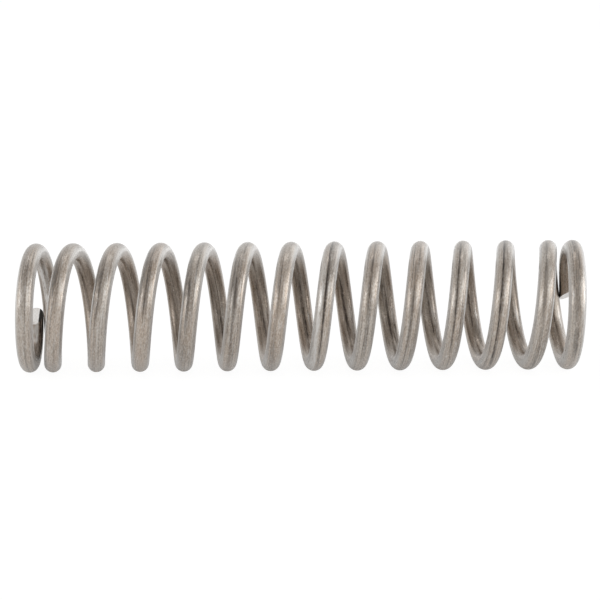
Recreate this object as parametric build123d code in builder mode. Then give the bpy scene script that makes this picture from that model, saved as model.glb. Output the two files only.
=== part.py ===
# Compression spring of a faucet, wound left-handed from one length of round wire.
#
# The first and the last coil are closed: each lies nearly flat, and the tip of the wire
# comes down beside the coil next to it. The tips are sheared off and left unground. The
# spring lies on its side, with +X along its axis towards its right end and the origin on
# the ground under its middle. Places along the wire are given in turns from its left tip.

from build123d import *

import os
from math import ceil, cos, pi, radians, sin

# Driving dimensions, in millimetres, degrees and turns
free_length = 76.2
outer_diameter = 17.4
wire_diameter = 2.32
total_turns = 13.975
pitch_fall = 0.27
left_tip_angle = 14.3
left_flat_turns = 0.56
left_rise_turns = 0.83
left_shear_angle = 40.0
right_flat_turns = 0.75
right_rise_turns = 0.14
right_shear_angle = 15.0
tip_clearance = 0.06

# Fineness of the centreline
points_per_turn = 16
direction_step = 0.001

# Worked out from the driving dimensions
wire_radius = wire_diameter / 2
outer_radius = outer_diameter / 2
coil_radius = outer_radius - wire_radius
closed_lead = wire_diameter + tip_clearance
climb_length = free_length - wire_diameter

# Wire beyond the toe of each tip, for the shears to take off
spare_length = tip_clearance
spare_turns = spare_length / (2 * pi * coil_radius)


def pitched(turns, flat_turns, rise_turns):
    """Turns of full pitch among the first turns of an end, the rise counting by its share."""
    engaged = min(max((turns - flat_turns) / rise_turns, 0), 1)
    return rise_turns * (engaged**3 - engaged**4 / 2) + max(turns - flat_turns - rise_turns, 0)


def pitched_from_left(turns):
    return pitched(turns, left_flat_turns, left_rise_turns)


def pitched_from_right(turns):
    return pitched(turns, right_flat_turns, right_rise_turns)


def fall_gain(turns):
    """Climb that the falling pitch adds over the first active turns, and takes off the last."""
    return pitch_fall * turns * (1 - turns / active_turns) / 2


# Leads of the two flat ends, in climb for each turn, and the mean pitch between them, so
# that each tip just clears the next coil and the whole spring has its free length
left_dead_turns = total_turns - pitched_from_left(total_turns)
right_dead_turns = total_turns - pitched_from_right(total_turns)
active_turns = total_turns - left_dead_turns - right_dead_turns
left_closed = pitched_from_left(1)
right_closed = pitched_from_right(1)
left_share = left_dead_turns / (1 - left_closed)
right_share = right_dead_turns / (1 - right_closed)
pitch = (
    climb_length
    - left_share * (closed_lead - fall_gain(left_closed))
    - right_share * (closed_lead + fall_gain(right_closed))
) / (active_turns - left_share * left_closed - right_share * right_closed)
left_lead = (closed_lead - pitch * left_closed - fall_gain(left_closed)) / (1 - left_closed)
right_lead = (closed_lead - pitch * right_closed + fall_gain(right_closed)) / (1 - right_closed)


def wire_point(turns):
    """Point of the centreline."""
    left_flat = turns - pitched_from_left(turns)
    right_flat = turns - pitched_from_right(total_turns) + pitched_from_right(total_turns - turns)
    active = turns - left_flat - right_flat
    climb = left_lead * left_flat + pitch * active + fall_gain(active) + right_lead * right_flat
    angle = radians(left_tip_angle + 360 * turns)
    return Vector(
        climb - climb_length / 2,
        coil_radius * cos(angle),
        outer_radius - coil_radius * sin(angle),
    )


def wire_direction(turns):
    """Unit vector along the wire, towards its right tip."""
    return (wire_point(turns + direction_step) - wire_point(turns - direction_step)).normalized()


def outward(turns):
    """Unit vector from the axis to the wire."""
    point = wire_point(turns)
    return Vector(0, point.Y, point.Z - outer_radius).normalized()


def shear_block(turns, inwards, shear_angle):
    """Block that takes off a tip beyond its slanted cut, slim enough to pass the next coil."""
    toe = wire_point(turns) + outward(turns) * wire_radius
    slant = radians(shear_angle)
    cut = Plane(toe, z_dir=inwards * cos(slant) + outward(turns) * sin(slant))
    foot = wire_point(turns) - inwards * 2 * spare_length
    with BuildPart(Plane(foot, x_dir=outward(turns), z_dir=inwards)) as block:
        Box(
            2 * wire_diameter,
            wire_diameter + tip_clearance,
            2 * wire_diameter,
            align=(Align.CENTER, Align.CENTER, Align.MIN),
        )
        split(bisect_by=cut, keep=Keep.BOTTOM)
    return block.part


first_station = -spare_turns
last_station = total_turns + spare_turns
steps = ceil(total_turns * points_per_turn)
stations = [first_station + (last_station - first_station) * step / steps for step in range(steps + 1)]

with BuildPart() as spring:
    with BuildLine():
        Spline(
            *[wire_point(turns) for turns in stations],
            tangents=[wire_direction(first_station), wire_direction(last_station)],
            tangent_scalars=[1, 1],
        )
    with BuildSketch(
        Plane(
            wire_point(first_station),
            x_dir=-outward(first_station),
            z_dir=wire_direction(first_station),
        )
    ):
        Circle(wire_radius)
    sweep(is_frenet=True)
    add(shear_block(0, wire_direction(0), left_shear_angle), mode=Mode.SUBTRACT)
    add(shear_block(total_turns, -wire_direction(total_turns), right_shear_angle), mode=Mode.SUBTRACT)

spring.part.label = "spring"

os.makedirs("parts", exist_ok=True)
export_step(spring.part, "parts/spring.step")
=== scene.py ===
"""Scene of a faucet's compression spring, wound from drawn steel wire, lying in a white studio."""

import logging
import math
from dataclasses import astuple, dataclass, field
from enum import Enum
from typing import Sequence

import bpy
import numpy as np
from mathutils import Euler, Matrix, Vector


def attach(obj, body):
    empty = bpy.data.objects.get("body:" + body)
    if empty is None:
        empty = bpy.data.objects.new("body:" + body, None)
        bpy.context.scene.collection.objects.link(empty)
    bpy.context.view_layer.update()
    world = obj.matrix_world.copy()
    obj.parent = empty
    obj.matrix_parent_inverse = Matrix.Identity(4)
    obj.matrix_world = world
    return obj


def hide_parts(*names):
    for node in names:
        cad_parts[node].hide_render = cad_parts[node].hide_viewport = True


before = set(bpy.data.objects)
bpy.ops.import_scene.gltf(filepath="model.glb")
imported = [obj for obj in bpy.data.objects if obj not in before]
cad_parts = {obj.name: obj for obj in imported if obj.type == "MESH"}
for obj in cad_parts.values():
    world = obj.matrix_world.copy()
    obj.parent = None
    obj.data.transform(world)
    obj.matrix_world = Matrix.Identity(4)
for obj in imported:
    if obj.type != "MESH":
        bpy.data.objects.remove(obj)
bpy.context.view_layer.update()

log = logging.getLogger("faucet_spring")


# ---- the wire's winding


class Winding(Enum):
    """The hand of the coil."""

    LEFT_HAND = 1
    RIGHT_HAND = -1


@dataclass(frozen=True)
class ClosedEnd:
    """One closed end of the coil.

    Attributes:
        flat_turns: turns from the tip over which the coil stays closed.
        rise_turns: turns over which it opens up to the full pitch.
        seat_turns: turns from the tip to where the next coil lies against it.
        shear_angle: slant of the cut across the wire, in degrees.
        toe_around: where round the wire the cut leaves it longest, in degrees from the outward side.
        toe_reach: how far that toe reaches past the tip's place, in metres.
    """

    flat_turns: float
    rise_turns: float
    seat_turns: float
    shear_angle: float
    toe_around: float = 0.0
    toe_reach: float = 0.0

    def pitched(self, turns: np.ndarray) -> np.ndarray:
        """Turns of full pitch among the first turns of this end.

        Args:
            turns: turns counted from this end's tip.

        Returns:
            The turns that climb at full pitch, the rise counting by its share.
        """
        engaged = np.clip((turns - self.flat_turns) / self.rise_turns, 0.0, 1.0)
        beyond = np.maximum(turns - self.flat_turns - self.rise_turns, 0.0)
        return self.rise_turns * (engaged**3 - engaged**4 / 2.0) + beyond


@dataclass(frozen=True)
class Stray:
    """A stretch where the wire lies a little off its even climb, as a coiling tool leaves it.

    Attributes:
        at: its middle, in turns from the left tip.
        reach: how far it goes to either side, in turns.
        along: how far the wire lies towards the right end there, in metres.
    """

    at: float
    reach: float
    along: float

    def shift(self, turns: np.ndarray) -> np.ndarray:
        """How far places along the wire are moved towards the right end."""
        off = np.clip((turns - self.at) / self.reach, -1.0, 1.0)
        return self.along * np.cos(off * math.pi / 2.0) ** 2


@dataclass
class CoiledWire:
    """Centreline of the wire, in metres, with places given in turns from its left tip.

    Attributes:
        free_length: length of the unpressed spring along its axis.
        outer_diameter: diameter over the coil.
        wire_diameter: diameter of the wire itself.
        total_turns: turns from tip to tip.
        pitch_fall: how much smaller the pitch is at the right end than at the left one.
        left_tip_angle: degrees round the coil by which the left tip lies below the axis.
        seat_gap: how near each tip lies to the next coil.
        winding: the hand of the coil.
        left: the left end.
        right: the right end.
        strays: where the wire lies off its even climb.
        cut_search: turns beyond a tip and within it, between which its slanted cut is looked for.
        cut_halvings: how often that stretch is halved.
    """

    free_length: float = 0.0762
    outer_diameter: float = 0.0174
    wire_diameter: float = 0.00232
    total_turns: float = 13.975
    pitch_fall: float = 0.00027
    left_tip_angle: float = 14.3
    seat_gap: float = 0.00001
    winding: Winding = Winding.LEFT_HAND
    left: ClosedEnd = ClosedEnd(flat_turns=0.56, rise_turns=0.83, seat_turns=1.02054, shear_angle=40.0)
    right: ClosedEnd = ClosedEnd(
        flat_turns=0.75,
        rise_turns=0.14,
        seat_turns=1.00656,
        shear_angle=31.4,
        toe_around=-35.0,
        toe_reach=0.0006,
    )
    strays: tuple[Stray, ...] = (Stray(1.42, 0.30, 0.00015), Stray(13.84, 0.125, -0.00012))
    cut_search: tuple[float, float] = (0.02, 0.15)
    cut_halvings: int = 40

    def __post_init__(self) -> None:
        """Works out the leads of the closed ends and the mean pitch between them."""
        self.wire_radius = self.wire_diameter / 2.0
        self.outer_radius = self.outer_diameter / 2.0
        self.coil_radius = self.outer_radius - self.wire_radius
        self.climb_length = self.free_length - self.wire_diameter
        dead = [self.total_turns - float(end.pitched(self.total_turns)) for end in (self.left, self.right)]
        self.active_turns = self.total_turns - sum(dead)
        seated = [float(end.pitched(end.seat_turns)) for end in (self.left, self.right)]
        closed = self.wire_diameter + self.seat_gap
        gains = [self.fall_gain(seated[0]), -self.fall_gain(seated[1])]
        share = [turns / (1.0 - part) for turns, part in zip(dead, seated)]
        climbed = sum(s * (closed - gain) for s, gain in zip(share, gains))
        full = self.active_turns - sum(s * part for s, part in zip(share, seated))
        self.pitch = (self.climb_length - climbed) / full
        self.left_lead, self.right_lead = (
            (closed - self.pitch * part - gain) / (1.0 - part) for part, gain in zip(seated, gains)
        )

    def fall_gain(self, active: np.ndarray) -> np.ndarray:
        """Climb that the slightly falling pitch adds, for so many active turns."""
        return self.pitch_fall * active * (1.0 - active / self.active_turns) / 2.0

    def centre(self, turns: np.ndarray) -> np.ndarray:
        """Points of the centreline.

        Args:
            turns: places along the wire, of any shape.

        Returns:
            Their x, y and z in the last axis.
        """
        left_flat = turns - self.left.pitched(turns)
        right_flat = (
            turns - self.right.pitched(self.total_turns) + self.right.pitched(self.total_turns - turns)
        )
        active = turns - left_flat - right_flat
        climb = (
            self.left_lead * left_flat
            + self.pitch * active
            + self.fall_gain(active)
            + self.right_lead * right_flat
            + sum(stray.shift(turns) for stray in self.strays)
        )
        angle = np.radians(self.left_tip_angle + 360.0 * turns) * self.winding.value
        return np.stack(
            [
                climb - self.climb_length / 2.0,
                self.coil_radius * np.cos(angle),
                self.outer_radius - self.coil_radius * np.sin(angle),
            ],
            axis=-1,
        )

    def frame_at(self, turns: np.ndarray) -> tuple[np.ndarray, np.ndarray, np.ndarray]:
        """Directions at places along the wire.

        Args:
            turns: places along the wire, of any shape.

        Returns:
            Unit vectors along the wire, outward from the axis, and across both.
        """
        step = 1e-4
        along = self.centre(turns + step) - self.centre(turns - step)
        along /= np.linalg.norm(along, axis=-1, keepdims=True)
        outward = self.centre(turns) - np.array([0.0, 0.0, self.outer_radius])
        outward[..., 0] = 0.0
        outward /= np.linalg.norm(outward, axis=-1, keepdims=True)
        across = np.cross(along, outward)
        across /= np.linalg.norm(across, axis=-1, keepdims=True)
        return along, outward, across

    def surface(self, turns: np.ndarray, around: np.ndarray, radius: np.ndarray) -> np.ndarray:
        """Points at a distance from the centreline.

        Args:
            turns: places along the wire.
            around: angles round the wire, from its outward side.
            radius: distances from the centreline.

        Returns:
            Their x, y and z in the last axis.
        """
        _, outward, across = self.frame_at(turns)
        ring = np.cos(around)[..., None] * outward + np.sin(around)[..., None] * across
        return self.centre(turns) + radius[..., None] * ring

    def cut_turns(self, around: np.ndarray, radius: np.ndarray, at_left: bool) -> np.ndarray:
        """Places where lines along the wire come out on a tip's slanted cut.

        Args:
            around: angles round the wire, from its outward side.
            radius: distances of the lines from the centreline.
            at_left: True for the left tip, False for the right one.

        Returns:
            The places in turns from the left tip.
        """
        end = self.left if at_left else self.right
        tip = np.array(0.0 if at_left else self.total_turns)
        inwards = 1.0 if at_left else -1.0
        along, outward, across = self.frame_at(tip)
        slant, turned = math.radians(end.shear_angle), math.radians(end.toe_around)
        toeward = outward * math.cos(turned) + across * math.sin(turned)
        normal = along * inwards * math.cos(slant) + toeward * math.sin(slant)
        toe = self.centre(tip) + toeward * self.wire_radius - along * inwards * end.toe_reach
        beyond, within = self.cut_search
        near = np.full(around.shape, float(tip) - beyond * inwards)
        far = np.full(around.shape, float(tip) + within * inwards)
        for _ in range(self.cut_halvings):
            middle = (near + far) / 2.0
            inside = (self.surface(middle, around, radius) - toe) @ normal > 0.0
            far = np.where(inside, middle, far)
            near = np.where(inside, near, middle)
        return (near + far) / 2.0


# ---- finishes

Colour = tuple[float, float, float, float]

# Point attributes of the spring's mesh that its finishes read: the place on the wire pulled straight, with x
# outward from the coil's axis, y beside it and z along the wire in metres, and the tone of its streaks and
# of the painted light and shade laid along it
STRAIGHT_WIRE = "straight_wire"
STREAKS_AND_PAINTED_LIGHT = "streaks_and_painted_light"

# Places of the sockets that a Mix node has for colours
MIX_FACTOR, MIX_FIRST, MIX_SECOND, MIX_RESULT = 0, 6, 7, 2


@dataclass(frozen=True)
class Pattern:
    """Noise over the wire pulled straight.

    Attributes:
        cells: cells for each metre outward, beside and along the wire.
        octaves: how many finer layers it has.
        roughness: how strong the finer layers are.
    """

    cells: tuple[float, float, float]
    octaves: float
    roughness: float = 0.6


@dataclass(frozen=True)
class Run:
    """One straight run from a value to another, held at both ends.

    Attributes:
        start: the value read where it begins.
        end: the value read where it ends.
        first: the value given at its beginning.
        last: the value given at its end.
    """

    start: float
    end: float
    first: float = 0.0
    last: float = 1.0


@dataclass(frozen=True)
class NodeDesk:
    """Short ways to lay shader nodes into one tree."""

    tree: bpy.types.NodeTree

    def node(self, kind: str, **settings: object) -> bpy.types.Node:
        """Adds a node.

        Args:
            kind: type name of the node without its ShaderNode prefix.
            settings: attributes of the node to set.

        Returns:
            The new node.
        """
        made = self.tree.nodes.new("ShaderNode" + kind)
        for name, value in settings.items():
            setattr(made, name, value)
        return made

    def link(self, source: bpy.types.NodeSocket, target: bpy.types.NodeSocket) -> None:
        """Joins two sockets."""
        self.tree.links.new(source, target)

    def feed(self, socket: bpy.types.NodeSocket, value: object) -> None:
        """Joins a socket to another one, or sets it to a plain value."""
        if isinstance(value, bpy.types.NodeSocket):
            self.link(value, socket)
        else:
            socket.default_value = value

    def joined(self, kind: str, *sources: bpy.types.NodeSocket) -> bpy.types.NodeSocket:
        """Adds a node that only brings other sockets together.

        Args:
            kind: type name of the node without its ShaderNode prefix.
            sources: what its sockets are joined to, in their order.

        Returns:
            Its first output.
        """
        made = self.node(kind)
        for socket, source in zip(made.inputs, sources):
            self.link(source, socket)
        return made.outputs[0]

    def attribute(self, name: str, output: str) -> bpy.types.NodeSocket:
        """Reads a point attribute of the mesh, as a Vector or as a Fac."""
        return self.node("Attribute", attribute_name=name).outputs[output]

    def noise(self, place: bpy.types.NodeSocket, pattern: Pattern) -> bpy.types.NodeSocket:
        """Adds a noise texture.

        Args:
            place: the place it is read at.
            pattern: its cells and octaves.

        Returns:
            Its factor.
        """
        mapping = self.node("Mapping")
        mapping.inputs["Scale"].default_value = pattern.cells
        self.link(place, mapping.inputs["Vector"])
        made = self.node("TexNoise")
        made.inputs["Scale"].default_value = 1.0
        made.inputs["Detail"].default_value = pattern.octaves
        made.inputs["Roughness"].default_value = pattern.roughness
        self.link(mapping.outputs["Vector"], made.inputs["Vector"])
        return made.outputs["Fac"]

    def ramp(self, value: bpy.types.NodeSocket, run: Run) -> bpy.types.NodeSocket:
        """Turns a value into another by one straight run.

        Args:
            value: the value read.
            run: the run.

        Returns:
            The new value.
        """
        span = self.node("MapRange", clamp=True)
        for name, limit in zip(("From Min", "From Max", "To Min", "To Max"), astuple(run)):
            span.inputs[name].default_value = limit
        self.link(value, span.inputs["Value"])
        return span.outputs["Result"]

    def math(self, operation: str, first: object, second: object = 0.0) -> bpy.types.NodeSocket:
        """Joins two values by arithmetic, or changes one.

        Args:
            operation: Blender's name of it.
            first: a socket or a number.
            second: a socket or a number, where the operation takes two.

        Returns:
            The result.
        """
        made = self.node("Math", operation=operation)
        for socket, value in zip(made.inputs, (first, second)):
            self.feed(socket, value)
        return made.outputs["Value"]

    def tint(self, factor: bpy.types.NodeSocket, first: object, second: object) -> bpy.types.NodeSocket:
        """Mixes two colours.

        Args:
            factor: 0 for the first and 1 for the second.
            first: a colour socket or four numbers.
            second: a colour socket or four numbers.

        Returns:
            The mixed colour.
        """
        made = self.node("Mix", data_type="RGBA", clamp_factor=True)
        self.link(factor, made.inputs[MIX_FACTOR])
        self.feed(made.inputs[MIX_FIRST], first)
        self.feed(made.inputs[MIX_SECOND], second)
        return made.outputs[MIX_RESULT]

    def relief(
        self,
        height: bpy.types.NodeSocket,
        strength: float,
        depth: float,
        over: bpy.types.NodeSocket | None = None,
    ) -> bpy.types.NodeSocket:
        """Raises fine relief.

        Args:
            height: how high each place lies, from 0 to 1.
            strength: how strongly the relief is seen.
            depth: how deep it is, in metres.
            over: the normal of coarser relief under it.

        Returns:
            The normal of the surface with its relief.
        """
        made = self.node("Bump")
        made.inputs["Strength"].default_value = strength
        made.inputs["Distance"].default_value = depth
        self.link(height, made.inputs["Height"])
        if over is not None:
            self.link(over, made.inputs["Normal"])
        return made.outputs["Normal"]


def new_material(name: str) -> tuple[bpy.types.Material, NodeDesk, bpy.types.Node]:
    """Starts a node material.

    Args:
        name: its name.

    Returns:
        The material, a desk for its nodes, and its output node.
    """
    material = bpy.data.materials.new(name)
    material.use_nodes = True
    material.node_tree.nodes.clear()
    desk = NodeDesk(material.node_tree)
    return material, desk, desk.node("OutputMaterial")


@dataclass(frozen=True)
class DrawnSteel:
    """Satin wire as the drawing die leaves it, with painted shade on its inner side and painted rim light on
    its flanks.

    Attributes:
        warm, neutral: the two tones of the metal, which change in patches.
        soot_and_shade_tone: tone of stains, drawn lines and pits, and of the painted shade on the inner
            side.
        frosty: tone of rubbed and scuffed metal, and of the painted rim light, the painted grazing sheen and
            the pale marks.
        black: tone of the darkest streaks and of the black painted shade.
        patches, stains, lines, grain, dashes: the patterns that the rest reads.
        patch_tint: from the patches to the neutral tone.
        inner_painted_shade: from the place outward to the painted shade of the inner side, which faces the
            coil's axis.
        outer_share: from the place outward to the share of film, frost and painted grazing sheen.
        stain_soot, line_soot: from the stains and lines to their soot.
        grain_frost, grain_soot: from the grain to its bright specks and dark pits.
        dash_frost: from the dashes to their rubbed metal.
        flank_painted_rim_light: from the place beside the wire's middle to the painted rim light on its
            flanks, a pale tone.
        flank_outer: from the place outward to the share of that painted rim light.
        flank_stains: from the stains to the share of it that they leave.
        flank_sheen: sheen where that painted rim light is full.
        flank_metal: how metallic the flank still is where that painted rim light is full.
        mark_lines, mark_dashes: how far the lines and dashes break up each mark.
        mark_black, mark_pale: from a mark's tone to its black or its pale tone.
        haze: from the slant of the surface to a pale tone painted where it is seen at a grazing angle, a
            painted reflection.
        roughness: from the dashes to the roughness.
        sheen_roughness: roughness of the flanks' sheen.
        film_roughness, film_index: roughness and refractive index of the film of oil on the wire.
        line_relief, grain_relief: strengths of the two reliefs.
        dash_relief: height of the dashes beside that of the lines.
        relief_depth: depth of both reliefs, in metres.
    """

    warm: Colour = (0.61, 0.50, 0.405, 1.0)
    neutral: Colour = (0.63, 0.565, 0.495, 1.0)
    soot_and_shade_tone: Colour = (0.15, 0.12, 0.098, 1.0)
    frosty: Colour = (0.91, 0.90, 0.88, 1.0)
    black: Colour = (0.05, 0.036, 0.027, 1.0)
    patches: Pattern = Pattern((500.0, 500.0, 90.0), 3.0, 0.55)
    stains: Pattern = Pattern((1500.0, 1500.0, 55.0), 3.0)
    lines: Pattern = Pattern((3800.0, 3800.0, 70.0), 3.0)
    grain: Pattern = Pattern((6200.0, 6200.0, 3600.0), 1.0, 0.5)
    dashes: Pattern = Pattern((5000.0, 5000.0, 900.0), 2.0)
    patch_tint: Run = Run(0.35, 0.65)
    inner_painted_shade: Run = Run(0.0001, -0.00108, 0.0, 0.24)
    outer_share: Run = Run(-0.0008, 0.0, 0.3, 1.0)
    stain_soot: Run = Run(0.50, 0.64, 0.0, 0.50)
    line_soot: Run = Run(0.52, 0.66, 0.0, 0.75)
    grain_frost: Run = Run(0.50, 0.72, 0.0, 0.34)
    grain_soot: Run = Run(0.50, 0.30, 0.0, 0.34)
    dash_frost: Run = Run(0.52, 0.75, 0.0, 0.50)
    flank_painted_rim_light: Run = Run(0.00076, 0.00102, 0.0, 0.85)
    flank_outer: Run = Run(-0.0001, 0.0002)
    flank_stains: Run = Run(0.42, 0.62, 1.0, 0.55)
    flank_sheen: float = 1.3
    flank_metal: float = 0.35
    mark_lines: Run = Run(0.40, 0.60, 0.55, 1.4)
    mark_dashes: Run = Run(0.34, 0.60, 0.4, 1.4)
    mark_black: Run = Run(0.0, -1.0)
    mark_pale: Run = Run(0.0, 1.0, 0.0, 0.8)
    haze: Run = Run(0.2, 0.75, 0.0, 0.3)
    roughness: Run = Run(0.3, 0.7, 0.24, 0.42)
    sheen_roughness: float = 0.35
    film_roughness: float = 0.22
    film_index: float = 1.5
    line_relief: float = 0.14
    grain_relief: float = 0.14
    dash_relief: float = 0.6
    relief_depth: float = 0.0001

    def material(self) -> bpy.types.Material:
        """Makes the material, which reads the wire as if it were pulled straight."""
        made, desk, output = new_material("drawn_steel_wire")
        steel = desk.node("BsdfPrincipled")
        steel.inputs["Coat Roughness"].default_value = self.film_roughness
        steel.inputs["Coat IOR"].default_value = self.film_index
        steel.inputs["Sheen Roughness"].default_value = self.sheen_roughness
        place = desk.attribute(STRAIGHT_WIRE, "Vector")
        mark = desk.attribute(STREAKS_AND_PAINTED_LIGHT, "Fac")
        patches, stains, lines, grain, dashes = (
            desk.noise(place, pattern)
            for pattern in (self.patches, self.stains, self.lines, self.grain, self.dashes)
        )
        apart = desk.node("SeparateXYZ")
        desk.link(place, apart.inputs["Vector"])
        outward, beside = apart.outputs["X"], apart.outputs["Y"]

        # Metal, soot of stains and lines, painted shade on the inner side, frost and pits
        outer = desk.ramp(outward, self.outer_share)
        desk.link(outer, steel.inputs["Coat Weight"])
        colour = desk.tint(desk.ramp(patches, self.patch_tint), self.warm, self.neutral)
        # Painted shade: the inner side of the wire, which faces the coil's axis, is darkened
        colour = desk.tint(desk.ramp(outward, self.inner_painted_shade), colour, self.soot_and_shade_tone)
        colour = desk.tint(desk.ramp(stains, self.stain_soot), colour, self.soot_and_shade_tone)
        colour = desk.tint(desk.ramp(lines, self.line_soot), colour, self.soot_and_shade_tone)
        specks = desk.math("MULTIPLY", outer, desk.ramp(grain, self.grain_frost))
        colour = desk.tint(specks, colour, self.frosty)
        colour = desk.tint(desk.ramp(grain, self.grain_soot), colour, self.soot_and_shade_tone)
        rubbed = desk.math("MULTIPLY", outer, desk.ramp(dashes, self.dash_frost))
        colour = desk.tint(rubbed, colour, self.frosty)

        # Flanks, with painted rim light as a pale tone, and less metallic for it
        flank = desk.ramp(desk.math("ABSOLUTE", beside), self.flank_painted_rim_light)
        flank = desk.math("MULTIPLY", flank, desk.ramp(outward, self.flank_outer))
        flank = desk.math("MULTIPLY", flank, desk.ramp(stains, self.flank_stains))
        # Painted rim light: the flanks take a pale tone
        colour = desk.tint(flank, colour, self.frosty)
        desk.link(desk.math("MULTIPLY", flank, self.flank_sheen), steel.inputs["Sheen Weight"])
        metal = desk.ramp(flank, Run(0.0, self.flank_painted_rim_light.last, 1.0, self.flank_metal))
        desk.link(metal, steel.inputs["Metallic"])

        # Streaks, painted shade and painted highlights along the wire, broken up by the lines and dashes
        streak = desk.math("MULTIPLY", mark, desk.ramp(lines, self.mark_lines))
        streak = desk.math("MULTIPLY", streak, desk.ramp(dashes, self.mark_dashes))
        colour = desk.tint(desk.ramp(streak, self.mark_black), colour, self.black)
        colour = desk.tint(desk.ramp(streak, self.mark_pale), colour, self.frosty)

        # Painted reflection: a pale tone where the surface slants away from the view
        slant = desk.node("LayerWeight").outputs["Facing"]
        haze = desk.math("MULTIPLY", outer, desk.ramp(slant, self.haze))
        desk.link(desk.tint(haze, colour, self.frosty), steel.inputs["Base Color"])
        desk.link(desk.ramp(dashes, self.roughness), steel.inputs["Roughness"])

        height = desk.math("ADD", lines, desk.math("MULTIPLY", dashes, self.dash_relief))
        drawn = desk.relief(height, self.line_relief, self.relief_depth)
        gritty = desk.relief(grain, self.grain_relief, self.relief_depth, drawn)
        desk.link(gritty, steel.inputs["Normal"])
        desk.link(steel.outputs["BSDF"], output.inputs["Surface"])
        return made


@dataclass(frozen=True)
class ShearedSteel:
    """Fresh metal on a sheared tip: bright, with torn grain, and with painted shade in black along the side
    of the left one that lies against the next coil.

    Attributes:
        bright, torn: tones of the clean metal and of its torn grain.
        black: tone of that painted shade, and of the dark marks that run out on the face, which are painted
            shade too.
        grain: the torn grain.
        torn_share: from the grain to the torn tone.
        shaded_side: from the place beside the face's middle to the painted shade on that side.
        left_tip: from the place along the wire to the share of that painted shade, none at the right tip.
        mark_black: from a mark's tone to its black.
        roughness: from the grain to the roughness.
        grain_relief: strength of the grain's relief.
        relief_depth: its depth, in metres.
    """

    bright: Colour = (0.99, 0.98, 0.97, 1.0)
    torn: Colour = (0.82, 0.79, 0.75, 1.0)
    black: Colour = (0.03, 0.028, 0.026, 1.0)
    grain: Pattern = Pattern((1500.0, 6500.0, 2500.0), 3.0)
    torn_share: Run = Run(0.45, 0.68)
    shaded_side: Run = Run(0.0005, 0.0006)
    left_tip: Run = Run(0.01, 0.02, 1.0, 0.0)
    mark_black: Run = Run(-0.3, -0.7)
    roughness: Run = Run(0.3, 0.7, 0.22, 0.45)
    grain_relief: float = 0.35
    relief_depth: float = 0.0001

    def material(self) -> bpy.types.Material:
        """Makes the material."""
        made, desk, output = new_material("sheared_steel_face")
        steel = desk.node("BsdfPrincipled")
        steel.inputs["Metallic"].default_value = 1.0
        place = desk.attribute(STRAIGHT_WIRE, "Vector")
        mark = desk.attribute(STREAKS_AND_PAINTED_LIGHT, "Fac")
        grain = desk.noise(place, self.grain)
        apart = desk.node("SeparateXYZ")
        desk.link(place, apart.inputs["Vector"])
        # Painted shade: black on the side of the left tip's face that lies against the next coil
        contact_shade = desk.ramp(apart.outputs["Y"], self.shaded_side)
        contact_shade = desk.math("MULTIPLY", contact_shade, desk.ramp(apart.outputs["Z"], self.left_tip))
        painted_black = desk.math("MAXIMUM", contact_shade, desk.ramp(mark, self.mark_black))
        colour = desk.tint(desk.ramp(grain, self.torn_share), self.bright, self.torn)
        desk.link(desk.tint(painted_black, colour, self.black), steel.inputs["Base Color"])
        desk.link(desk.ramp(grain, self.roughness), steel.inputs["Roughness"])
        desk.link(desk.relief(grain, self.grain_relief, self.relief_depth), steel.inputs["Normal"])
        desk.link(steel.outputs["BSDF"], output.inputs["Surface"])
        return made


# ---- the spring


@dataclass(frozen=True)
class StreakAndPaintedLight:
    """One mark along the wire: one of the streaks that the drawing die or the coiling tool left, or a patch
    of painted light or shade.

    Attributes:
        start: where it begins, in turns from the left tip.
        end: where it ends.
        around: its angle round the wire, in degrees from the outward side.
        width: its width in degrees round the wire.
        tone: from -1 for a black mark to 1 for a pale one.
        softness: how far its sides fade, in degrees.
        fade: how far its ends fade, in turns.
        drift: how far it wanders round the wire, in degrees for each turn.
    """

    start: float
    end: float
    around: float
    width: float
    tone: float
    softness: float = 14.0
    fade: float = 0.06
    drift: float = 0.0

    def strength(self, turns: np.ndarray, around: np.ndarray, depth: np.ndarray) -> np.ndarray:
        """How strong the mark is at places on the wire and on its cut faces.

        Args:
            turns: places along the wire.
            around: angles round the wire, in radians.
            depth: distances from the centreline, 1 being the wire's surface.

        Returns:
            Its tone there, fading out at its ends and sides.
        """
        line = np.radians(self.around + self.drift * (turns - self.start))
        chord = depth * np.cos(around - line)
        off = np.degrees(np.arccos(np.clip(chord, -1.0, 1.0)))
        side = np.clip((self.width / 2.0 - off) / self.softness + 0.5, 0.0, 1.0)
        begun = np.clip((turns - self.start) / self.fade, 0.0, 1.0)
        unfinished = np.clip((self.end - turns) / self.fade, 0.0, 1.0)
        return self.tone * side * (begun * unfinished)


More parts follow.
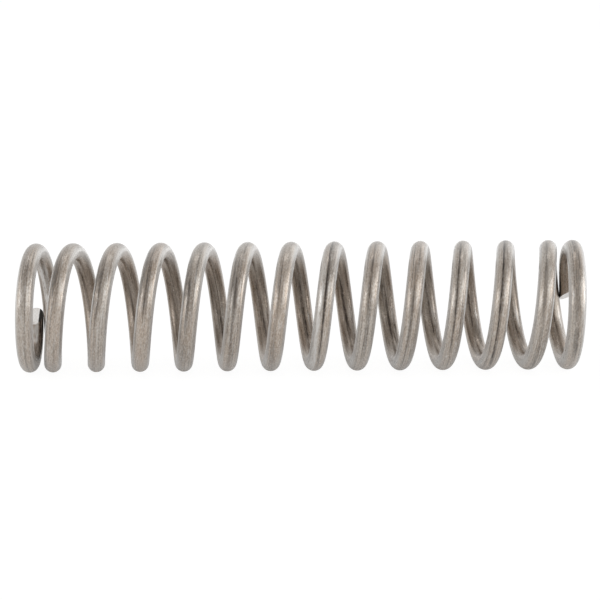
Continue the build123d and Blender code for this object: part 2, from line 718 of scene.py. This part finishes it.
@dataclass
class Spring:
    """The coiled wire as one fine mesh, with its sheared tips.

    Attributes:
        wire: the wire's centreline.
        sides: lines of the mesh round the wire.
        rings_per_turn: its rings round the wire, for each turn of the coil.
        tip_zone_turns: how far from each tip the rings start to slant towards the cut.
        tip_rings: slanting rings at each tip.
        rim: width of the fine rim round each cut face, in metres.
        rim_share: how near the sharp corner the rim's own ring lies, as a share of its width.
        face_rings: rings on each cut face.
        map_strips: strips that the map lays the wire out in.
        strip_edge: share of a strip that is left free on either side of the wire.
        map_edge: share of the map that is left free at the strips' ends.
        length_margin: turns beyond each tip over which the wire's length is still measured.
        length_samples: places at which it is measured.
        marks: the wire's streaks, and its painted light and shade.
        finish: finish of the drawn wire.
        tip_finish: finish of the cut faces.
    """

    wire: CoiledWire = field(default_factory=CoiledWire)
    sides: int = 56
    rings_per_turn: int = 104
    tip_zone_turns: float = 0.1
    tip_rings: int = 12
    rim: float = 0.000035
    rim_share: float = 0.3
    face_rings: int = 9
    map_strips: int = 10
    strip_edge: float = 0.04
    map_edge: float = 0.004
    length_margin: float = 0.05
    length_samples: int = 6000
    marks: tuple[StreakAndPaintedLight, ...] = (
        # The left tip: painted shade in black on its side against the next coil, and a painted highlight
        # with painted dark patches of reflection on its inner side
        StreakAndPaintedLight(-0.10, 0.27, 117.0, 54.0, -1.0, softness=8.0, fade=0.03),
        StreakAndPaintedLight(0.00, 0.14, 196.0, 90.0, 1.0, fade=0.02),
        StreakAndPaintedLight(0.025, 0.085, 196.0, 50.0, -0.80, softness=24.0, fade=0.02),
        StreakAndPaintedLight(0.13, 0.19, 190.0, 60.0, -0.35, fade=0.02),
        # The strands in their order, from the left end to the right one: streaks, and broad soft dark
        # patches in the middle of the near strands that are partly the wire's own darker tone and partly
        # painted dark reflection
        StreakAndPaintedLight(0.80, 1.03, 184.0, 64.0, 1.0),
        StreakAndPaintedLight(0.86, 1.06, 225.0, 22.0, -0.8),
        StreakAndPaintedLight(1.48, 1.68, -30.0, 50.0, -0.45, softness=24.0),
        StreakAndPaintedLight(2.20, 2.50, 2.0, 5.0, 1.0, softness=5.0),
        StreakAndPaintedLight(2.46, 2.68, -27.0, 52.0, -0.50, softness=24.0),
        StreakAndPaintedLight(3.46, 3.70, -18.0, 66.0, -0.36, softness=24.0),
        StreakAndPaintedLight(4.32, 4.60, -20.0, 16.0, -0.35),
        StreakAndPaintedLight(4.48, 4.68, -40.0, 42.0, -0.45, softness=24.0),
        StreakAndPaintedLight(5.34, 5.60, -6.0, 10.0, -0.50),
        StreakAndPaintedLight(5.48, 5.68, -24.0, 52.0, -0.42, softness=24.0),
        StreakAndPaintedLight(6.28, 6.70, -14.0, 9.0, -0.50),
        StreakAndPaintedLight(6.48, 6.66, -16.0, 36.0, -0.25, softness=24.0),
        StreakAndPaintedLight(7.20, 7.66, -32.0, 42.0, 0.75),
        StreakAndPaintedLight(7.27, 7.74, -2.0, 12.0, -0.85),
        StreakAndPaintedLight(8.32, 8.72, -3.0, 11.0, -0.50),
        StreakAndPaintedLight(8.48, 8.68, -7.0, 28.0, -0.28, softness=24.0),
        StreakAndPaintedLight(9.36, 9.70, -5.0, 16.0, -0.50),
        StreakAndPaintedLight(10.20, 10.44, 2.0, 9.0, -0.60),
        StreakAndPaintedLight(10.20, 10.46, 12.0, 5.0, 0.5, softness=6.0),
        StreakAndPaintedLight(10.36, 10.74, -10.0, 12.0, -0.70),
        StreakAndPaintedLight(11.25, 11.80, -6.0, 14.0, -0.80),
        StreakAndPaintedLight(12.25, 12.75, -8.0, 12.0, -0.60),
        StreakAndPaintedLight(13.33, 13.80, 0.0, 40.0, -0.50),
        # Painted highlight on the right rim of the last near strand
        StreakAndPaintedLight(13.40, 13.68, 50.0, 34.0, 0.6),
        # Painted shade in black on the right tip's side that lies against the next coil
        StreakAndPaintedLight(13.89, 14.10, -108.0, 36.0, -1.0, softness=8.0, fade=0.05),
        # Painted shade and dark reflection: a dark line on the inner side of each far strand, stronger from
        # strand to strand
        *(
            StreakAndPaintedLight(
                k - 0.12,
                k + 0.14,
                187.0,
                20.0,
                max(0.4 - 0.2 * k, -0.8),
                softness=26.0,
                fade=0.05,
                drift=-35.0,
            )
            for k in range(3, 14)
        ),
        # Painted light beside it, paler from strand to strand
        *(
            StreakAndPaintedLight(k, k + 0.16, 140.0, 44.0, 0.12 + 0.03 * k, softness=24.0, fade=0.04)
            for k in range(5, 14)
        ),
    )
    finish: DrawnSteel = DrawnSteel()
    tip_finish: ShearedSteel = ShearedSteel()

    def angles(self) -> np.ndarray:
        """Angles of the mesh's lines round the wire, from its outward side."""
        return 2.0 * math.pi * np.arange(self.sides) / self.sides

    def tip_rows(self, at_left: bool, inner: float) -> list[tuple[np.ndarray, np.ndarray, bool]]:
        """Lays out the rings of one tip, from the even rings of the tube to the middle of the cut face.

        Args:
            at_left: True for the left tip, False for the right one.
            inner: where the even rings end, in turns from the left tip.

        Returns:
            For each ring its places along the wire, its distances from the centreline, and
            whether it is on the cut face.
        """
        around = self.angles()
        full = np.full(self.sides, self.wire.wire_radius)
        inwards = 1.0 if at_left else -1.0
        rim_turns = self.rim / (2.0 * math.pi * self.wire.coil_radius)
        cut = self.wire.cut_turns(around, full, at_left)
        start = cut + inwards * rim_turns
        rows = [(start + (inner - start) * k / self.tip_rings, full, False) for k in range(self.tip_rings)]
        rows.reverse()
        rows.append((cut + inwards * self.rim_share * rim_turns, full - self.rim_share * self.rim, False))
        for k in range(self.face_rings + 1):
            radius = (full - self.rim) * (1.0 - k / self.face_rings)
            rows.append((self.wire.cut_turns(around, radius, at_left), radius, True))
        return rows

    def rows(self) -> tuple[np.ndarray, np.ndarray, np.ndarray]:
        """Lays out all rings, from the middle of the left cut face to the middle of the right one.

        Returns:
            Places along the wire, distances from the centreline, and whether each ring is on a cut face.
        """
        full = np.full(self.sides, self.wire.wire_radius)
        first, last = self.tip_zone_turns, self.wire.total_turns - self.tip_zone_turns
        gaps = round((self.wire.total_turns - 2.0 * self.tip_zone_turns) * self.rings_per_turn)
        tube = [(np.full(self.sides, place), full, False) for place in np.linspace(first, last, gaps + 1)]
        left, right = self.tip_rows(True, first), self.tip_rows(False, last)
        turns, radii, on_face = zip(*left[::-1], *tube, *right)
        return np.array(turns), np.array(radii), np.array(on_face)

    def length_at(self, turns: np.ndarray) -> np.ndarray:
        """Length of wire from a little before the left tip to places along it."""
        beyond = self.length_margin
        fine = np.linspace(-beyond, self.wire.total_turns + beyond, self.length_samples)
        steps = np.linalg.norm(np.diff(self.wire.centre(fine), axis=0), axis=1)
        run = np.concatenate([[0.0], np.cumsum(steps)])
        return np.interp(turns, fine, run)

    @staticmethod
    def at_points(values: np.ndarray) -> np.ndarray:
        """Lists values of all rings point by point, each end ring being one point, both of them last."""
        inner = values[1:-1].reshape(-1, *values.shape[2:])
        return np.concatenate([inner, values[[0, -1]].mean(axis=1)])

    def faces(self, steps: int) -> list[tuple[int, ...]]:
        """Joins each ring to the next one, and both end rings to the points in their middles.

        Args:
            steps: how many steps there are from ring to ring, without those to the middles.

        Returns:
            The points of each face, the four-sided faces first.
        """
        ring = np.arange(steps)[:, None] * self.sides
        side = np.arange(self.sides)[None, :]
        following = (side + 1) % self.sides
        corners = (ring + side, ring + following, ring + self.sides + following, ring + self.sides + side)
        quads = np.stack(corners, axis=-1).reshape(-1, 4).tolist()
        top = steps * self.sides
        middle = top + self.sides
        pairs = [(k, (k + 1) % self.sides) for k in range(self.sides)]
        left_fan = [(middle, after, before) for before, after in pairs]
        right_fan = [(middle + 1, top + before, top + after) for before, after in pairs]
        return [tuple(quad) for quad in quads] + left_fan + right_fan

    def build(self) -> bpy.types.Object:
        """Makes the mesh.

        Returns:
            The spring's object, in place in the frame.
        """
        turns, radii, on_face = self.rows()
        around = np.broadcast_to(self.angles(), turns.shape)
        points = self.at_points(self.wire.surface(turns, around, radii))
        faces = self.faces(len(turns) - 3)
        mesh = bpy.data.meshes.new("spring_wire_coil")
        mesh.from_pydata(points.tolist(), [], faces)
        mesh.polygons.foreach_set("use_smooth", [True] * len(faces))

        cut_quads = (on_face[1:-2] & on_face[2:-1]).repeat(self.sides)
        slots = np.concatenate([cut_quads, np.ones(2 * self.sides, bool)]).astype(np.int32)
        mesh.polygons.foreach_set("material_index", slots)

        straight = np.stack([radii * np.cos(around), radii * np.sin(around), self.length_at(turns)], axis=-1)
        attribute = mesh.attributes.new(STRAIGHT_WIRE, "FLOAT_VECTOR", "POINT")
        attribute.data.foreach_set("vector", self.at_points(straight).astype(np.float32).ravel())

        depth = radii / self.wire.wire_radius
        tone = sum((mark.strength(turns, around, depth) for mark in self.marks), np.zeros(turns.shape))
        attribute = mesh.attributes.new(STREAKS_AND_PAINTED_LIGHT, "FLOAT", "POINT")
        attribute.data.foreach_set("value", np.clip(self.at_points(tone), -1.0, 1.0).astype(np.float32))

        self.add_map(mesh, len(turns) - 3)
        mesh.validate()
        mesh.update()
        return bpy.data.objects.new("spring_wire_coil", mesh)

    def add_map(self, mesh: bpy.types.Mesh, steps: int) -> None:
        """Lays the wire's surface out in strips side by side, as a map for the exported model's colours.

        Args:
            mesh: the spring's mesh.
            steps: how many steps there are from ring to ring, without those to the middles.
        """
        steps_per_strip = steps / self.map_strips
        step = np.arange(steps).repeat(self.sides)
        side = np.tile(np.arange(self.sides), steps)
        strip = np.minimum((step / steps_per_strip).astype(int), self.map_strips - 1)
        quads = np.zeros((len(step), 4, 2))
        for corner, (onward, around) in enumerate(((0, 0), (0, 1), (1, 1), (1, 0))):
            along = (step + onward) / steps_per_strip - strip
            across = (1.0 - 2.0 * self.strip_edge) * (side + around) / self.sides
            quads[:, corner, 0] = self.map_edge + (1.0 - 2.0 * self.map_edge) * along
            quads[:, corner, 1] = (strip + self.strip_edge + across) / self.map_strips
        fans = np.zeros((2, self.sides, 3, 2))
        fans[0] = self.map_edge / 2.0
        fans[1] = 1.0 - self.map_edge / 2.0
        layer = mesh.uv_layers.new(name="OFBake")
        layer.data.foreach_set("uv", np.concatenate([quads.ravel(), fans.ravel()]).astype(np.float32))

    def dress(self, spring: bpy.types.Object) -> None:
        """Gives the wire and its cut faces their finishes.

        Args:
            spring: the spring's object.
        """
        spring.data.materials.append(self.finish.material())
        spring.data.materials.append(self.tip_finish.material())

    def place(self) -> bpy.types.Object:
        """Builds and dresses the spring, and puts it in the place of its CAD node."""
        spring = self.build()
        self.dress(spring)
        bpy.context.scene.collection.objects.link(spring)
        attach(spring, "root")
        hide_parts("spring")
        return spring


# ---- the studio


@dataclass(frozen=True)
class Lamp:
    """One soft area lamp, placed by where it stands as seen from the spring.

    Attributes:
        name: its name.
        bearing: degrees to the right of the camera, negative to the left.
        height: degrees above the camera's own level.
        distance: metres from the spring.
        size: width and height, in metres.
        radiance: how bright its face is, 1 being white.
        colour: the tint of its light.
    """

    name: str
    bearing: float
    height: float
    distance: float
    size: tuple[float, float]
    radiance: float
    colour: tuple[float, float, float] = (1.0, 1.0, 1.0)

    def place(self, target: Vector, tilt: float) -> bpy.types.Object:
        """Adds the lamp to the scene.

        Args:
            target: the point it shines at.
            tilt: degrees that the camera's level is turned up from the floor's.

        Returns:
            The lamp's object.
        """
        bearing, height = math.radians(self.bearing), math.radians(self.height)
        away = Vector(
            (
                math.sin(bearing) * math.cos(height),
                -math.cos(bearing) * math.cos(height),
                math.sin(height),
            )
        )
        away = Euler((math.radians(-tilt), 0.0, 0.0)).to_matrix() @ away
        data = bpy.data.lights.new(self.name, "AREA")
        data.shape = "RECTANGLE"
        data.size, data.size_y = self.size
        data.color = self.colour
        data.energy = self.radiance * math.pi * self.size[0] * self.size[1]
        lamp = bpy.data.objects.new(self.name, data)
        lamp.location = target + away * self.distance
        lamp.rotation_mode = "QUATERNION"
        lamp.rotation_quaternion = away.to_track_quat("Z", "Y")
        lamp.visible_camera = False
        bpy.context.scene.collection.objects.link(lamp)
        return lamp


@dataclass(frozen=True)
class WhiteSheet:
    """Material of the floor and backdrop, which the camera sees as white with the spring's faint shadow.

    Attributes:
        name: its name.
        reflected: glow that shows in polished metal, besides the lit sheet.
        colour: the sheet's own colour, which the lamps light.
        white: glow that the camera sees.
        shadow_share: how much of the lamps' light, and so of the spring's shadow, the camera sees.
    """

    name: str
    reflected: float
    colour: Colour = (0.8, 0.8, 0.8, 1.0)
    white: float = 0.94
    shadow_share: float = 0.15

    def material(self) -> bpy.types.Material:
        """Makes the material."""
        made, desk, output = new_material(self.name)
        ray = desk.node("LightPath")
        veil = desk.node("BsdfDiffuse")
        veil.inputs["Color"].default_value = (*[self.shadow_share] * 3, 1.0)
        glow = desk.node("Emission")
        glow.inputs["Strength"].default_value = self.white
        seen = desk.joined("AddShader", veil.outputs["BSDF"], glow.outputs["Emission"])
        sheet = desk.node("BsdfDiffuse")
        sheet.inputs["Color"].default_value = self.colour
        sheen = desk.node("Emission")
        polished = desk.math("MAXIMUM", ray.outputs["Is Glossy Ray"], ray.outputs["Is Transmission Ray"])
        desk.link(desk.math("MULTIPLY", polished, self.reflected), sheen.inputs["Strength"])
        lit = desk.joined("AddShader", sheet.outputs["BSDF"], sheen.outputs["Emission"])
        shown = desk.joined("MixShader", ray.outputs["Is Camera Ray"], lit, seen)
        desk.link(shown, output.inputs["Surface"])
        return made


@dataclass(frozen=True)
class Camera:
    """The camera that took the picture, in metres and degrees, with its lens and sensor in millimetres."""

    location: tuple[float, float, float] = (0.002626, -0.235434, 0.069282)
    rotation: tuple[float, float, float] = (75.7684, 0.5087, 0.5133)
    focal_length: float = 108.396
    sensor_width: float = 36.0
    nearest: float = 0.01
    farthest: float = 20.0

    def place(self) -> bpy.types.Object:
        """Adds the camera and makes it the scene's."""
        data = bpy.data.cameras.new("picture_camera")
        data.lens = self.focal_length
        data.sensor_width = self.sensor_width
        data.clip_start, data.clip_end = self.nearest, self.farthest
        camera = bpy.data.objects.new("picture_camera", data)
        camera.location = self.location
        camera.rotation_euler = [math.radians(angle) for angle in self.rotation]
        bpy.context.scene.collection.objects.link(camera)
        bpy.context.scene.camera = camera
        return camera


@dataclass
class Studio:
    """White floor, backdrop, lamps and the room's own light, in metres and degrees.

    Attributes:
        target: the point that the lamps shine at.
        tilt: how far the lamps' level is turned up from the floor's, as the camera looks down.
        floor_half_width: how far the sheets reach to either side.
        floor_front: where the floor begins, before the spring.
        floor_middle: where its second sheet begins, behind the spring.
        backdrop_distance: where the backdrop stands.
        backdrop_height: how high it is.
        bend_radius: radius of the bend between floor and backdrop.
        bend_step: angle between the lines of that bend.
        front_reflected, back_reflected, backdrop_reflected: the sheets' glow in polished metal.
        room_colour: the tint of the room's light.
        room_radiance: how bright it is.
        lamps: the lamps.
    """

    target: tuple[float, float, float] = (0.0, 0.0, 0.0087)
    tilt: float = 12.0
    floor_half_width: float = 1.6
    floor_front: float = -1.6
    floor_middle: float = 0.1
    backdrop_distance: float = 0.9
    backdrop_height: float = 1.2
    bend_radius: float = 0.3
    bend_step: int = 5
    front_reflected: float = 0.16
    back_reflected: float = 0.75
    backdrop_reflected: float = 0.2
    room_colour: Colour = (1.0, 0.98, 0.96, 1.0)
    room_radiance: float = 0.53
    lamps: tuple[Lamp, ...] = (
        Lamp("right_softbox", 84.0, 12.0, 0.60, (0.34, 0.34), 1.35),
        Lamp("left_softbox", -84.0, 12.0, 0.60, (0.38, 0.34), 0.55),
        Lamp("right_front_softbox", 45.0, 18.0, 0.60, (0.36, 0.42), 0.75, (0.88, 0.95, 1.0)),
        Lamp("left_front_softbox", -57.0, 15.0, 0.60, (0.17, 0.22), 1.5, (0.90, 0.95, 1.0)),
        Lamp("right_back_softbox", 132.0, 26.0, 0.70, (0.60, 0.50), 0.3),
        Lamp("overhead_softbox", 180.0, 80.0, 0.60, (0.40, 0.14), 0.6),
    )

    def sheet(
        self, name: str, profile: Sequence[tuple[float, float]], material: bpy.types.Material
    ) -> bpy.types.Object:
        """Stretches a sheet of the studio along X.

        Args:
            name: its name.
            profile: its y and z from front to back.
            material: what it is covered with.

        Returns:
            The sheet's object.
        """
        half = self.floor_half_width
        vertices = [(x, y, z) for y, z in profile for x in (-half, half)]
        faces = [(2 * k, 2 * k + 1, 2 * k + 3, 2 * k + 2) for k in range(len(profile) - 1)]
        mesh = bpy.data.meshes.new(name)
        mesh.from_pydata(vertices, [], faces)
        mesh.polygons.foreach_set("use_smooth", [True] * len(faces))
        mesh.materials.append(material)
        sheet = bpy.data.objects.new(name, mesh)
        bpy.context.scene.collection.objects.link(sheet)
        return sheet

    def place(self) -> None:
        """Builds the floor and backdrop, hangs the lamps and lights the room."""
        bend_start = self.backdrop_distance - self.bend_radius
        front = [(self.floor_front, 0.0), (self.floor_middle, 0.0)]
        back = [(self.floor_middle, 0.0), (bend_start, 0.0)]
        backdrop = [
            (
                bend_start + self.bend_radius * math.sin(math.radians(angle)),
                self.bend_radius * (1.0 - math.cos(math.radians(angle))),
            )
            for angle in range(0, 91, self.bend_step)
        ]
        backdrop.append((self.backdrop_distance, self.backdrop_height))
        for name, profile, reflected in (
            ("floor_front", front, self.front_reflected),
            ("floor_back", back, self.back_reflected),
            ("backdrop", backdrop, self.backdrop_reflected),
        ):
            self.sheet(name, profile, WhiteSheet("white_" + name, reflected).material())
        for lamp in self.lamps:
            lamp.place(Vector(self.target), self.tilt)
        self.light_room()

    def light_room(self) -> None:
        """Gives the world an even light, and a white look for the camera."""
        world = bpy.data.worlds.new("studio_room")
        bpy.context.scene.world = world
        world.use_nodes = True
        world.node_tree.nodes.clear()
        desk = NodeDesk(world.node_tree)
        room = desk.node("Background")
        room.inputs["Color"].default_value = self.room_colour
        room.inputs["Strength"].default_value = self.room_radiance
        white = desk.node("Background")
        white.inputs["Color"].default_value = (1.0, 1.0, 1.0, 1.0)
        white.inputs["Strength"].default_value = 1.0
        to_camera = desk.node("LightPath").outputs["Is Camera Ray"]
        shown = desk.joined("MixShader", to_camera, room.outputs["Background"], white.outputs["Background"])
        desk.link(shown, desk.node("OutputWorld").inputs["Surface"])


def main() -> None:
    """Builds the scene's pieces in order and reports each one."""
    logging.basicConfig(level=logging.INFO, format="%(name)s: %(message)s")
    bpy.context.scene.view_settings.view_transform = "Standard"
    spring = Spring().place()
    log.info("spring: %d faces", len(spring.data.polygons))
    Studio().place()
    log.info("studio: floor, backdrop, lamps and room light")
    camera = Camera().place()
    log.info("camera: %.1f mm lens", camera.data.lens)


if __name__ == "__main__":
    main()
